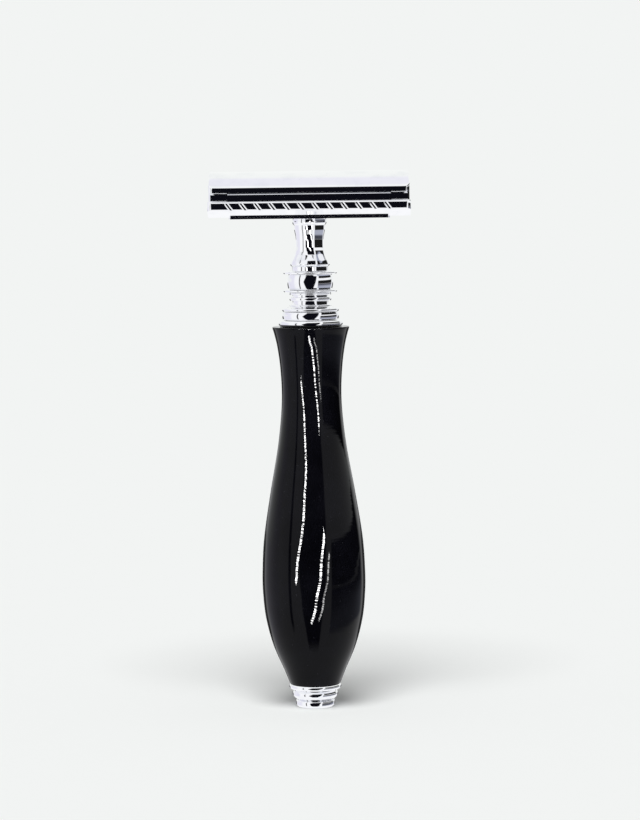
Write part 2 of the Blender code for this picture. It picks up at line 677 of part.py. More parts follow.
def make_cap():
    cap = extruded("cap", mirrored(cap_outline()), -CAP_HALF_LENGTH, CAP_HALF_LENGTH, CHROME)
    lug = [(LUG_INNER_Y, LUG_LOW), (LUG_OUTER_Y, LUG_LOW), (LUG_OUTER_Y, LUG_SHOULDER)]
    lug += [(CAP_HALF_WIDTH - LUG_INSET, CAP_SIDE_LOW + LUG_INSET), (LUG_INNER_Y, CAP_SIDE_TOP)]
    for x_name, x_side in (("left", -1), ("right", 1)):
        for y_name, y_side in (("front", -1), ("back", 1)):
            xs = sorted((x_side * LUG_INNER_X, x_side * (CAP_HALF_LENGTH - LUG_INSET)))
            section = [(y_side * y, z) for y, z in lug]
            boolean(cap, extruded(f"cap_{x_name}_{y_name}_lug", section, *xs), "UNION")
    round_corners(cap, CAP_HALF_LENGTH, CAP_HALF_WIDTH)
    top = CAP_TOP - CAP_HOLE_FLOOR
    boolean(cap, cylinder("cap_stud_hole", STUD_SHANK_RADIUS + SLIDE_GAP, 0, top, sides=SHANK_SIDES))
    for x in (-PIN_X, PIN_X):
        boolean(cap, cylinder("cap_pin_hole", PIN_RADIUS + SLIDE_GAP, 0, top, x, sides=16))
    return cap


def make_cap_stud():
    """The stud, waisted above its thread. Its helix is the neck's own, so that the two are in mesh."""
    end = HEAD_BASE - SEAT_GAP - STUD_REACH - NECK_BASE
    thread_top = HEAD_BASE + STUD_THREAD_TOP - NECK_BASE
    top = HEAD_BASE + CAP_TOP - CAP_HOLE_FLOOR - SEAT_GAP - NECK_BASE
    stud = threaded("cap_stud", 0, end, top, STEEL)
    wide = THREAD_CREST_RADIUS + 0.5
    blunt = THREAD_ROOT_RADIUS - 0.2
    outline = [(0, end), (blunt, end), (wide, end + wide - blunt), (wide, thread_top)]
    outline += [(STUD_SHANK_RADIUS, thread_top + wide - STUD_SHANK_RADIUS), (STUD_SHANK_RADIUS, top), (0, top)]
    boolean(stud, turned("cap_stud_trim", outline, sides=SHANK_SIDES), "INTERSECT")
    return stud


def make_pin(name):
    top = CAP_TOP - CAP_HOLE_FLOOR - SEAT_GAP
    blunt = PIN_RADIUS - 0.35
    outline = [(0, PIN_LOW), (blunt, PIN_LOW), (PIN_RADIUS, PIN_LOW + 0.6), (PIN_RADIUS, top), (0, top)]
    return turned(name, outline, STEEL, 16)


def build_handle():
    handle = empty("handle")
    placed(make_finial(), handle, FINIAL_BASE)
    placed(make_lock_washer(), handle, FOOT_BEAD_BASE)
    placed(make_foot_bead(), handle, FOOT_BEAD_BASE)
    placed(make_foot_flange(), handle, FOOT_FLANGE_BASE)
    placed(make_grip(), handle, GRIP_BASE)
    tube_low = FINIAL_HEIGHT + FINIAL_SPIGOT_HEIGHT + SEAT_GAP
    tube_high = FERRULE_BASE - FERRULE_SPIGOT_DEPTH - SEAT_GAP
    placed(make_core_tube(tube_high - tube_low), handle, tube_low)
    rod_low = FINIAL_FLOOR + ROD_END_CLEARANCE
    rod_high = NECK_BASE - NECK_SPIGOT_DEPTH + NECK_ROD_HOLE_DEPTH - ROD_END_CLEARANCE
    placed(make_tie_rod(rod_high - rod_low), handle, rod_low)
    placed(make_seat_flange(), handle, SEAT_FLANGE_BASE)
    placed(make_ferrule(), handle, FERRULE_BASE)
    placed(make_flange_ring(), handle, FLANGE_RING_BASE)
    placed(make_ribbed_sleeve(), handle, RIBBED_SLEEVE_BASE)
    placed(make_disc("lower_disc"), handle, LOWER_DISC_BASE)
    placed(make_barrel_collar(), handle, BARREL_COLLAR_BASE)
    placed(make_disc("upper_disc"), handle, UPPER_DISC_BASE)
    placed(make_neck(), handle, NECK_BASE)


def build_head():
    turning = empty("head_turn_axis", height=HEAD_BASE)
    placed(make_base_plate(), turning)
    lifting_blade = empty("blade_lift_axis", turning)
    placed(make_blade(), lifting_blade)
    lifting_cap = empty("cap_rise_axis", turning)
    placed(make_cap(), lifting_cap)
    placed(make_cap_stud(), lifting_cap, NECK_BASE - HEAD_BASE)
    for name, x in (("cap_pin_left", -PIN_X), ("cap_pin_right", PIN_X)):
        placed(make_pin(name), lifting_cap).location.x = x * MM


clear_scene()
build_handle()
build_head()
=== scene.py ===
import math

import bmesh
import bpy
from mathutils import Euler, Matrix, Vector


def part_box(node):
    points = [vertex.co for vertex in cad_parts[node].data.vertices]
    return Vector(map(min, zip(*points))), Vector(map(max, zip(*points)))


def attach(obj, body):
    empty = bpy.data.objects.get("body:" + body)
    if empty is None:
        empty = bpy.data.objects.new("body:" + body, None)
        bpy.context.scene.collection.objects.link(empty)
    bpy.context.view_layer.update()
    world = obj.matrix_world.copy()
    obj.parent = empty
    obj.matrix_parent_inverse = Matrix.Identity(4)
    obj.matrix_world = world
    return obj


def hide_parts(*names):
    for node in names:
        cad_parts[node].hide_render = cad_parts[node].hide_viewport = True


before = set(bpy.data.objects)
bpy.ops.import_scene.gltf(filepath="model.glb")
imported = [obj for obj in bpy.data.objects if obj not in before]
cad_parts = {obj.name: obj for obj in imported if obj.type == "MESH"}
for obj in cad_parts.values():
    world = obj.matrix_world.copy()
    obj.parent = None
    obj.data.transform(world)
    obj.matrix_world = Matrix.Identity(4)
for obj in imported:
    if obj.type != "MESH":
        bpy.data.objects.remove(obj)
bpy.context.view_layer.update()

# The pieces are built in millimetres, and the stage, the lights and the materials in metres

MM = 0.001
GAP = 0.05  # between pieces that would otherwise touch
FINE = 192  # sides of a turned piece
DRILL_SIDES = 64
FILLET_STEPS = 6
SMOOTH_ANGLE = 32.0  # degrees between two faces, past which their edge stays sharp


# Places and sizes come from the frame, in millimetres

def low_of(node):
    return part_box(node)[0].z / MM


def high_of(node):
    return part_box(node)[1].z / MM


def reach_of(node):
    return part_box(node)[1].x / MM


HEAD = low_of("base_plate")  # the height of the head's underside


# Node trees

class Nodes:
    """Builds a node tree from chained calls. A value is a number, a colour or another node's output."""

    def __init__(self, tree):
        self.tree = tree
        tree.nodes.clear()

    def add(self, kind, settings=None, **values):
        node = self.tree.nodes.new(kind)
        for name, value in (settings or {}).items():
            setattr(node, name, value)
        for name, value in values.items():
            socket = node.inputs[int(name[1:])] if name[1:].isdigit() else node.inputs[name.replace("_", " ")]
            self.put(socket, value)
        return node

    def put(self, socket, value):
        if isinstance(value, bpy.types.NodeSocket):
            self.tree.links.new(value, socket)
        else:
            socket.default_value = value

    def math(self, operation, *values):
        node = self.tree.nodes.new("ShaderNodeMath")
        node.operation = operation
        for socket, value in zip(node.inputs, values):
            self.put(socket, value)
        return node.outputs[0]

    def times(self, first, second):
        return self.math("MULTIPLY", first, second)

    def ramp(self, value, low, high, to_low=0.0, to_high=1.0):
        """value from low to high becomes to_low to to_high, smoothly."""
        node = self.add("ShaderNodeMapRange", {"interpolation_type": "SMOOTHSTEP"}, i0=value, i1=low, i2=high)
        self.put(node.inputs[3], to_low)
        self.put(node.inputs[4], to_high)
        return node.outputs[0]

    def band(self, value, low, high, soft):
        """1 between low and high, with soft edges that are centred on them."""
        rise = self.ramp(value, low - soft / 2, low + soft / 2)
        fall = self.ramp(value, high - soft / 2, high + soft / 2, 1.0, 0.0)
        return self.times(rise, fall)

    def mix(self, factor, first, second):
        node = self.tree.nodes.new("ShaderNodeMix")
        node.data_type = "RGBA"
        self.put(node.inputs[0], factor)
        self.put(node.inputs[6], first)
        self.put(node.inputs[7], second)
        return node.outputs[2]

    def noise(self, place, scale, detail=2.0, roughness=0.5):
        node = self.add("ShaderNodeTexNoise", Vector=place, Scale=scale, Detail=detail, Roughness=roughness)
        return node.outputs[0]

    def stretched(self, place, scales):
        return self.add("ShaderNodeMapping", Vector=place, Scale=scales).outputs[0]

    def bump(self, height, distance):
        return self.add("ShaderNodeBump", Height=height, Strength=1.0, Distance=distance).outputs[0]

    def output(self, shader, kind="ShaderNodeOutputMaterial"):
        self.tree.links.new(shader.outputs[0], self.add(kind).inputs[0])


# Materials

def grey(level):
    return (level, level, level, 1.0)


def new_material(name):
    """A material, and the builder of its node tree."""
    made = bpy.data.materials.new(name)
    made.use_nodes = True
    return made, Nodes(made.node_tree)


SMEAR_SCALE = 260.0
MARKS_SHARE = 0.35  # of the wear that dulls a metal, with smears as the rest


def metal(name, colour, dark, roughness, grain, grain_height):
    """A polished metal. grain stretches its fine marks along an axis, and smears vary its colour and its gloss."""
    made, tree = new_material(name)
    place = tree.add("ShaderNodeTexCoord").outputs["Object"]
    smears = tree.noise(place, SMEAR_SCALE, 4.0, 0.6)
    marks = tree.noise(tree.stretched(place, grain), 1.0, 3.0, 0.65)
    tint = tree.mix(tree.ramp(smears, 0.42, 0.72), colour, dark)
    worn = tree.math("MULTIPLY_ADD", marks, MARKS_SHARE, tree.times(smears, 1.0 - MARKS_SHARE))
    gloss = tree.ramp(worn, 0.35, 0.68, *roughness)
    bump = tree.bump(marks, grain_height)
    shader = tree.add("ShaderNodeBsdfPrincipled", Base_Color=tint, Roughness=gloss, Normal=bump, Metallic=1.0)
    tree.output(shader)
    return made


RESIN_BLACK = (0.0005, 0.0005, 0.0008, 1.0)
RESIN_BLUE = (0.0011, 0.0011, 0.0017, 1.0)
RESIN_DUST = (0.012, 0.012, 0.015, 1.0)
RESIN_ROUGHNESS = (0.012, 0.032)
RESIN_WAVES = 0.000009  # metres


def resin(name):
    """Black cast resin, turned and buffed: faintly blue and faintly wavy, with smudges and a little fine dust."""
    made, tree = new_material(name)
    place = tree.add("ShaderNodeTexCoord").outputs["Object"]
    cloud = tree.noise(place, 70.0, 3.0, 0.55)
    smudges = tree.noise(place, 210.0, 5.0, 0.62)
    waves = tree.noise(tree.stretched(place, (110.0, 110.0, 760.0)), 1.0, 2.0, 0.5)
    dust = tree.noise(place, 2600.0, 1.0, 0.4)
    base = tree.mix(tree.ramp(cloud, 0.38, 0.64), RESIN_BLACK, RESIN_BLUE)
    speckled = tree.mix(tree.ramp(dust, 0.72, 0.82, 0.0, 0.5), base, RESIN_DUST)
    gloss = tree.ramp(smudges, 0.40, 0.72, *RESIN_ROUGHNESS)
    bump = tree.bump(tree.math("MULTIPLY_ADD", cloud, 0.6, waves), RESIN_WAVES)
    shader = tree.add("ShaderNodeBsdfPrincipled", Base_Color=speckled, Roughness=gloss, Normal=bump, IOR=1.50)
    shader.inputs["Specular IOR Level"].default_value = 0.11
    tree.output(shader)
    return made


ROUND_GRAIN = (250.0, 250.0, 9000.0)
LONG_GRAIN = (180.0, 5200.0, 5200.0)
CROSS_GRAIN = (5200.0, 300.0, 300.0)
DRAWN_GRAIN = (2500.0, 2500.0, 120.0)
CHROME = metal(
    "chrome_turned",
    colour=(0.93, 0.935, 0.95, 1.0),
    dark=(0.86, 0.87, 0.90, 1.0),
    roughness=(0.025, 0.075),
    grain=ROUND_GRAIN,
    grain_height=0.0000009,
)
CHROME_CAST = metal(
    "chrome_cast",
    colour=(0.93, 0.935, 0.95, 1.0),
    dark=(0.87, 0.88, 0.905, 1.0),
    roughness=(0.025, 0.08),
    grain=LONG_GRAIN,
    grain_height=0.0000008,
)
BLADE_STEEL = metal(
    "blade_steel",
    colour=(0.80, 0.81, 0.83, 1.0),
    dark=(0.68, 0.69, 0.72, 1.0),
    roughness=(0.12, 0.22),
    grain=LONG_GRAIN,
    grain_height=0.0000030,
)
GROUND_EDGE = metal(
    "ground_edge",
    colour=(0.90, 0.91, 0.94, 1.0),
    dark=(0.82, 0.83, 0.87, 1.0),
    roughness=(0.06, 0.12),
    grain=CROSS_GRAIN,
    grain_height=0.0000040,
)
TURNED_STEEL = metal(
    "turned_steel",
    colour=(0.60, 0.60, 0.62, 1.0),
    dark=(0.46, 0.46, 0.48, 1.0),
    roughness=(0.18, 0.34),
    grain=ROUND_GRAIN,
    grain_height=0.0000030,
)
DRAWN_BRASS = metal(
    "drawn_brass",
    colour=(0.74, 0.55, 0.27, 1.0),
    dark=(0.56, 0.39, 0.17, 1.0),
    roughness=(0.22, 0.38),
    grain=DRAWN_GRAIN,
    grain_height=0.0000030,
)
RESIN = resin("black_resin")


# Shapes

ON_AXIS = 1e-6
NEARLY_STRAIGHT = 0.01  # radians short of a straight line at which a corner gets no fillet
FILLET_SHARE = 0.49  # of a side, at most, that the fillet at one of its ends may take


def rounded(corners):
    """The outline through corners of (across, up) or (across, up, fillet), with an arc where there is a fillet."""
    outline = []
    count = len(corners)
    for index, corner in enumerate(corners):
        here = Vector(corner[:2])
        fillet = corner[2] if len(corner) > 2 else 0.0
        if not fillet:
            outline.append(here)
            continue
        back = Vector(corners[index - 1][:2]) - here
        ahead = Vector(corners[(index + 1) % count][:2]) - here
        half = back.angle(ahead) / 2
        if half > math.pi / 2 - NEARLY_STRAIGHT:
            outline.append(here)
            continue
        run = min(fillet / math.tan(half), FILLET_SHARE * back.length, FILLET_SHARE * ahead.length)
        radius = run * math.tan(half)
        centre = here + (back.normalized() + ahead.normalized()).normalized() * radius / math.sin(half)
        first = here + back.normalized() * run - centre
        last = here + ahead.normalized() * run - centre
        for step in range(FILLET_STEPS + 1):
            spot = first.slerp(last, step / FILLET_STEPS)
            outline.append(centre + spot * radius)
    return [(point.x, point.y) for point in outline]


def bulge(radius, sag, low, high, steps=12):
    """A ring's outer side, which is fullest at the middle and falls in by sag at both ends."""
    points = []
    for step in range(steps + 1):
        along = step / steps
        points.append((radius - sag * (2 * along - 1) ** 2, low + (high - low) * along))
    return points


def soften(side, first, last):
    """A ring's outer side with a fillet at its two ends."""
    return [(*side[0], first)] + side[1:-1] + [(*side[-1], last)]


def arc(centre, radius, start, end, steps):
    """Points on an arc between two angles in degrees."""
    points = []
    for step in range(steps + 1):
        angle = math.radians(start + (end - start) * step / steps)
        points.append((centre[0] + radius * math.cos(angle), centre[1] + radius * math.sin(angle)))
    return points


def finished(name, mesh, material, place=(0.0, 0.0, 0.0)):
    """An object from a bmesh in millimetres, with outward faces."""
    bmesh.ops.recalc_face_normals(mesh, faces=mesh.faces)
    if mesh.calc_volume(signed=True) < 0:
        bmesh.ops.reverse_faces(mesh, faces=mesh.faces)
    bmesh.ops.translate(mesh, vec=place, verts=mesh.verts)
    bmesh.ops.scale(mesh, vec=(MM, MM, MM), verts=mesh.verts)
    data = bpy.data.meshes.new(name)
    mesh.to_mesh(data)
    mesh.free()
    if material is not None:
        data.materials.append(material)
    obj = bpy.data.objects.new(name, data)
    smooth(obj)
    bpy.context.scene.collection.objects.link(obj)
    return obj


def smooth(obj, angle=SMOOTH_ANGLE):
    obj.data.shade_smooth()
    obj.data.set_sharp_from_angle(angle=math.radians(angle))


def turned_mesh(outline, sides):
    mesh = bmesh.new()
    rings = []
    for radius, height in outline:
        ring = []
        for side in range(1 if radius < ON_AXIS else sides):
            angle = 2 * math.pi * side / sides
            ring.append(mesh.verts.new((radius * math.cos(angle), radius * math.sin(angle), height)))
        rings.append(ring)
    for ring, following in zip(rings, rings[1:] + rings[:1]):
        if len(ring) == len(following) == 1:
            continue
        for side in range(sides):
            near, far = side, side + 1
            corners = [ring[near % len(ring)], ring[far % len(ring)]]
            corners += [following[far % len(following)], following[near % len(following)]]
            mesh.faces.new(list(dict.fromkeys(corners)))
    return mesh


def turned(name, outline, material, base=0.0, sides=FINE, x=0.0):
    return finished(name, turned_mesh(outline, sides), material, place=(x, 0.0, base))


def prism_mesh(outline, low, high, axis):
    """A straight prism over a closed outline: along Z from (x, y) points, or along X from (y, z) points."""
    mesh = bmesh.new()
    rings = []
    for level in (low, high):
        ring = []
        for first, second in outline:
            spot = (first, second, level) if axis == "z" else (level, first, second)
            ring.append(mesh.verts.new(spot))
        rings.append(ring)
    mesh.faces.new(rings[0])
    mesh.faces.new(rings[1])
    for near in range(len(outline)):
        far = (near + 1) % len(outline)
        mesh.faces.new((rings[0][near], rings[0][far], rings[1][far], rings[1][near]))
    return mesh


def prism(name, outline, low, high, axis="z", place=(0.0, 0.0, 0.0)):
    return finished(name, prism_mesh(outline, low, high, axis), None, place=place)


def apply(obj, modifier):
    with bpy.context.temp_override(object=obj, active_object=obj, selected_objects=[obj]):
        bpy.ops.object.modifier_apply(modifier=modifier.name)


def combine(obj, others, operation="DIFFERENCE"):
    """Applies a Boolean with each of the others, which are then removed."""
    for other in others:
        modifier = obj.modifiers.new("combine", "BOOLEAN")
        modifier.operation = operation
        modifier.object = other
        modifier.solver = "EXACT"
        apply(obj, modifier)
        bpy.data.objects.remove(other, do_unlink=True)


NEARLY_FLAT = 0.05  # degrees between faces that are merged before the edges are eased
EASED_ANGLE = 20.0
EASED_SMOOTH_ANGLE = 40.0


def edged(obj, width):
    """Eases the sharp edges, so that they catch the light as real ones do."""
    mesh = bmesh.new()
    mesh.from_mesh(obj.data)
    bmesh.ops.dissolve_limit(mesh, angle_limit=math.radians(NEARLY_FLAT), verts=mesh.verts, edges=mesh.edges)
    mesh.to_mesh(obj.data)
    mesh.free()
    bevel = obj.modifiers.new("edges", "BEVEL")
    bevel.width = width * MM
    bevel.segments = 2
    bevel.limit_method = "ANGLE"
    bevel.angle_limit = math.radians(EASED_ANGLE)
    bevel.use_clamp_overlap = True
    bevel.miter_outer = "MITER_ARC"
    bevel.harden_normals = False
    apply(obj, bevel)
    smooth(obj, EASED_SMOOTH_ANGLE)


def mounted(obj, body, slot, *nodes):
    """Fixes a piece to its body. Its large faces set the shading of its fillets."""
    weighted = obj.modifiers.new("normals", "WEIGHTED_NORMAL")
    weighted.keep_sharp = True
    weighted.weight = 90
    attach(obj, body)
    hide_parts(*nodes)
    return obj


# The handle's pieces, each from its own base up

ROD_BORE = 2.05
ROD_PASSAGE = 2.15  # the wider bore in the ferrule
FINIAL_BORE = 3.05
NECK_BORE = 3.25
SPIGOT = 4.15  # radius of the spigots that enter the grip
POCKET = SPIGOT + GAP
GRIP_BORE = 3.00
GRIP_STATIONS = (  # (height, radius)
    (0.0, 5.90),
    (3.0, 7.08),
    (9.0, 9.62),
    (15.5, 11.30),
    (21.5, 11.93),
    (26.0, 12.00),
    (34.0, 11.53),
    (44.5, 9.94),
    (55.5, 8.02),
    (63.0, 7.16),
    (68.5, 6.93),
    (74.5, 7.25),
    (79.0, 7.85),
    (81.8, 8.48),
    (83.55, 9.02),
)
GRIP_ROWS = 150


def grip_side():
    """The grip's outer side: a smooth curve through its stations."""
    heights = [height for height, _ in GRIP_STATIONS]
    radii = [radius for _, radius in GRIP_STATIONS]
    slopes = []
    for index in range(len(heights)):
        before = max(index - 1, 0)
        after = min(index + 1, len(heights) - 1)
        slopes.append((radii[after] - radii[before]) / (heights[after] - heights[before]))
    points = []
    for row in range(GRIP_ROWS + 1):
        height = heights[-1] * row / GRIP_ROWS
        index = max(i for i in range(len(heights) - 1) if heights[i] <= height)
        span = heights[index + 1] - heights[index]
        t = (height - heights[index]) / span
        radius = (
            (2 * t**3 - 3 * t**2 + 1) * radii[index]
            + (t**3 - 2 * t**2 + t) * span * slopes[index]
            + (3 * t**2 - 2 * t**3) * radii[index + 1]
            + (t**3 - t**2) * span * slopes[index + 1]
        )
        points.append((radius, height))
    return points


def make_grip():
    side = grip_side()
    top = side[-1][1]
    upper_floor = top - 3.60
    lower_roof = 3.05
    outline = soften(side, 0.2, 0.22)
    outline += [(POCKET, top), (POCKET, upper_floor), (GRIP_BORE, upper_floor)]
    outline += [(GRIP_BORE, lower_roof), (POCKET, lower_roof), (POCKET, 0)]
    grip = turned("grip_body", rounded(outline), RESIN, low_of("grip"))
    return mounted(grip, "handle", "black_resin", "grip")


def make_ring(node, outline):
    piece = turned(f"{node}_body", rounded(outline), CHROME, low_of(node))
    mounted(piece, "handle", "chromed_brass", node)


def make_plain_ring(node, sag, height, fillets, bore=NECK_BORE, steps=12):
    side = soften(bulge(reach_of(node), sag, 0, height, steps), *fillets)
    make_ring(node, side + [(bore, height), (bore, 0)])


def make_foot():
    radius = reach_of("finial")
    fillet, shoulder, spigot, spigot_top, floor = 0.55, 1.95, 3.00, 8.90, 0.90
    inner = radius - fillet
    outline = [(0, 0), (2.6, 0), (inner, 0, 0.4)]
    outline += arc((inner, 0.75), fillet, -50, 0, 5) + arc((inner, 1.20), fillet, 0, 75, 6)
    outline += [(radius - 0.60, shoulder, 0.08), (spigot, shoulder), (spigot, spigot_top)]
    outline += [(ROD_BORE, spigot_top), (ROD_BORE, floor), (0, floor)]
    make_ring("finial", outline)
    height, recess, recess_roof = 2.25, 4.00, 0.65
    outline = soften(bulge(reach_of("foot_bead"), 0.75, 0, height), 0.2, 0.2)
    outline += [(FINIAL_BORE, height), (FINIAL_BORE, recess_roof), (recess, recess_roof), (recess, 0)]
    make_ring("foot_bead", outline)
    height, spigot_top = 1.15, 4.15
    outline = soften(bulge(reach_of("foot_flange"), 0.30, 0, height), 0.2, 0.15)
    outline += [(SPIGOT, height), (SPIGOT, spigot_top), (FINIAL_BORE, spigot_top), (FINIAL_BORE, 0)]
    make_ring("foot_flange", outline)


def make_ferrule():
    base, floor = 5.10, 4.60
    top = high_of("ferrule") - low_of("ferrule")
    side = soften(bulge(reach_of("ferrule"), 0.22, base, top), 0.15, 0.25)
    outline = [(SPIGOT, 0), (SPIGOT, base)] + side
    outline += [(NECK_BORE, top), (NECK_BORE, floor), (ROD_PASSAGE, floor), (ROD_PASSAGE, 0)]
    make_ring("ferrule", outline)


def make_ribbed_sleeve():
    rib, root_fillet, height = 0.70, 0.06, 3.65
    core = reach_of("ribbed_sleeve") - rib
    outline = [(core, 0)]
    for low, high in ((0.30, 0.75), (1.70, 2.50), (3.05, 3.55)):
        side = soften(bulge(core + rib, 0.12, low, high, 6), 0.12, 0.12)
        outline += [(core, low, root_fillet)] + side + [(core, high, root_fillet)]
    make_ring("ribbed_sleeve", outline + [(core, height), (NECK_BORE, height), (NECK_BORE, 0)])


def make_rings():
    make_plain_ring("seat_flange", 0.30, 1.45, (0.15, 0.20), POCKET)
    make_ferrule()
    make_plain_ring("flange_ring", 0.18, 0.75, (0.12, 0.18))
    make_ribbed_sleeve()
    for node in ("lower_disc", "upper_disc"):
        make_plain_ring(node, 0.15, 0.50, (0.10, 0.10), steps=8)
    make_plain_ring("barrel_collar", 0.30, 3.60, (0.25, 0.25))


# The thread, right-handed, whose turns are counted from the neck's shoulder

PITCH = 0.80
CREST = 2.45
ROOT = 2.00
CREST_HALF = 0.08
FLANK_RUN = 0.224
THREAD_CLEARANCE = 0.08
THREAD_SIDES = 72
THREAD_TURN = 0.4 / 18  # the share of a turn at which the thread starts
HOLE_DEPTH = 8.70
NECK_TENON = 11.60
NECK_SHOULDER = low_of("neck") + NECK_TENON
NECK_HEIGHT = HEAD - GAP - NECK_SHOULDER
NECK_SIDE = (  # (radius, height, fillet) above the shoulder, from the bell up to the lip
    (4.10, 0, 0.1),
    (4.20, 0.15, 0.1),
    (4.20, 1.15, 0.1),
    (4.45, 1.30, 0.1),
    (4.62, 1.62, 0.25),
    (4.28, 2.55, 1.5),
    (3.93, 3.25, 3.0),
    (3.59, 3.95, 3.0),
    (3.36, 4.70, 3.0),
    (3.25, 5.50, 3.0),
    (3.24, 7.30, 5.0),
    (3.34, 8.40, 5.0),
    (3.58, 9.60, 0.6),
    (3.60, 10.70, 0.10),
    (3.85, 10.90, 0.12),
    (4.00, 11.35, 0.5),
    (3.90, 12.10, 0.1),
)


def thread_mesh(grow, low, high):
    """A threaded rod about Z that is longer than low to high at both ends, as a bmesh in millimetres."""
    slant = math.hypot(CREST - ROOT, FLANK_RUN) / (CREST - ROOT)
    widening = grow * (slant - FLANK_RUN / (CREST - ROOT))
    root_half = (CREST_HALF + FLANK_RUN + widening) / PITCH
    crest_half = (CREST_HALF + widening) / PITCH
    corners = [(-root_half, ROOT + grow), (-crest_half, CREST + grow)]
    corners += [(crest_half, CREST + grow), (root_half, ROOT + grow)]
    count = len(corners)
    start = math.floor(low / PITCH) - 2
    turns = math.ceil((high - low) / PITCH) + 4
    rows = count * turns
    mesh = bmesh.new()
    columns = []
    for side in range(THREAD_SIDES):
        share = side / THREAD_SIDES
        angle = 2 * math.pi * (share + THREAD_TURN)
        column = []
        for row in range(rows + (count if side == 0 else 0)):
            turn, corner = divmod(row, count)
            offset, radius = corners[corner]
            height = (start + turn + offset + share) * PITCH
            column.append(mesh.verts.new((radius * math.cos(angle), radius * math.sin(angle), height)))
        columns.append(column)
    following = columns[1:] + [columns[0][count:]]
    for column, beside in zip(columns, following):
        for row in range(rows - 1):
            mesh.faces.new((column[row], beside[row], beside[row + 1], column[row + 1]))
    low_rim = [column[0] for column in columns] + columns[0][count:0:-1]
    high_rim = [column[rows - 1] for column in columns] + columns[0][: rows - 1: -1]
    for rim, height in ((low_rim, (start - 1) * PITCH), (high_rim, (start + turns + 2) * PITCH)):
        tip = mesh.verts.new((0, 0, height))
        for near, far in zip(rim, rim[1:] + rim[:1]):
            mesh.faces.new((near, far, tip))
    return mesh


def make_neck():
    top = NECK_HEIGHT
    tenon_radius, rod_end = 3.20, -2.30
    outline = [(0, rod_end), (ROD_BORE, rod_end), (ROD_BORE, -NECK_TENON)]
    outline += [(tenon_radius, -NECK_TENON, 0.2), (tenon_radius, 0), *NECK_SIDE, (3.75, top, 0.05), (0, top)]
    neck = turned("neck_body", rounded(outline), CHROME, NECK_SHOULDER)
    floor, past_top = top - HOLE_DEPTH, top + 1
    thread = thread_mesh(THREAD_CLEARANCE, floor, past_top)
    hole = finished("neck_hole", thread, None, place=(0, 0, NECK_SHOULDER))
    trim_outline = [(0, floor), (2 * CREST, floor), (2 * CREST, past_top), (0, past_top)]
    combine(hole, [turned("neck_trim", trim_outline, None, NECK_SHOULDER, 48)], "INTERSECT")
    combine(neck, [hole])
    neck.data.set_sharp_from_angle(angle=math.radians(SMOOTH_ANGLE))
    return mounted(neck, "handle", "chromed_brass", "neck")


# The head, with heights above its underside

GUARD_LENGTH = reach_of("base_plate")
GUARD_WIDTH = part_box("base_plate")[1].y / MM
BELOW_HEAD = -1.0
ABOVE_HEAD = 12.0
CORNER = 1.20  # radius of the corners that are seen from above
PIN_X = 9.60
BEND = 22.00
EDGE_HEIGHT = 5.60
BLADE_HALF = 11.05
BEND_CENTRE = EDGE_HEIGHT - BEND * math.cos(BLADE_HALF / BEND)
SADDLE = BEND - 0.10
HOLLOW = BEND + 0.10
SOCKET_TOP = 9.80  # of the blind holes in the cap for the stud and the pins

SADDLE_HALF_LENGTH = 21.40
SADDLE_HALF_WIDTH = 8.75
SADDLE_FOOT = (8.95, 1.90)  # (across, up) where its side meets the plate
SADDLE_SIDE_DROP = 0.22
RIB_HALF_LENGTH = 18.50
RIB_HALF_WIDTH = 6.50
RIB_CORNER = 0.45
RIB_TOP = 1.00  # inside the plate
PLATE_STUD_HOLE = 2.65
PLATE_PIN_HOLE = 1.60
PLATE_EASE = 0.035
PLATE_HALF = [  # (across, up, fillet), from the middle of the top out to the face and back underneath
    (0, 3.00),
    (11.00, 3.00, 0.20),
    (11.35, 3.75, 0.30),
    (11.75, 4.05, 0.25),
    (12.20, 4.05, 0.20),
    (12.48, 3.93, 0.15),
    (GUARD_WIDTH, 3.68, 0.12),
    (GUARD_WIDTH, 2.32, 0.10),
    (GUARD_WIDTH - 0.15, 2.12, 0.10),
    (RIB_HALF_WIDTH, 0.40),
    (0, 0.40),
]

GROOVES = 12
GROOVE_PITCH = 3.29
GROOVE_LEAN = 37  # degrees
GROOVE_TOP = 3.68
GROOVE_LOW = 1.52
GROOVE_MOUTH = 1.15
GROOVE_FLOOR = 0.45
GROOVE_DEPTH = 0.15


def over(radius, half_width, steps=24):
    """Points on an arc about the blade's bend axis, from the middle out to half_width."""
    reach = math.asin(half_width / radius)
    angles = [reach * step / steps for step in range(steps + 1)]
    return [(radius * math.sin(angle), BEND_CENTRE + radius * math.cos(angle)) for angle in angles]


def whole(half):
    """A closed (y, z) outline from its half at +Y, which runs from the middle at the top to the middle below."""
    return half + [(-point[0], *point[1:]) for point in reversed(half) if point[0] > 0]


def plan(half_length, half_width, radius, steps=10):
    """A rectangle seen from above, with round corners."""
    rim = []
    for x_side, y_side, start in ((1, 1, 0), (-1, 1, 90), (-1, -1, 180), (1, -1, 270)):
        centre = (x_side * (half_length - radius), y_side * (half_width - radius))
        rim += arc(centre, radius, start, start + 90, steps)
    return rim


def trim_corners(obj, half_length, half_width):
    outline = plan(half_length, half_width, CORNER)
    combine(obj, [prism("corners", outline, BELOW_HEAD, ABOVE_HEAD, "z", (0, 0, HEAD))], "INTERSECT")


def drilled(name, x, radius, low=BELOW_HEAD, high=ABOVE_HEAD, base=HEAD):
    return turned(name, [(0, low), (radius, low), (radius, high), (0, high)], None, base, DRILL_SIDES, x)


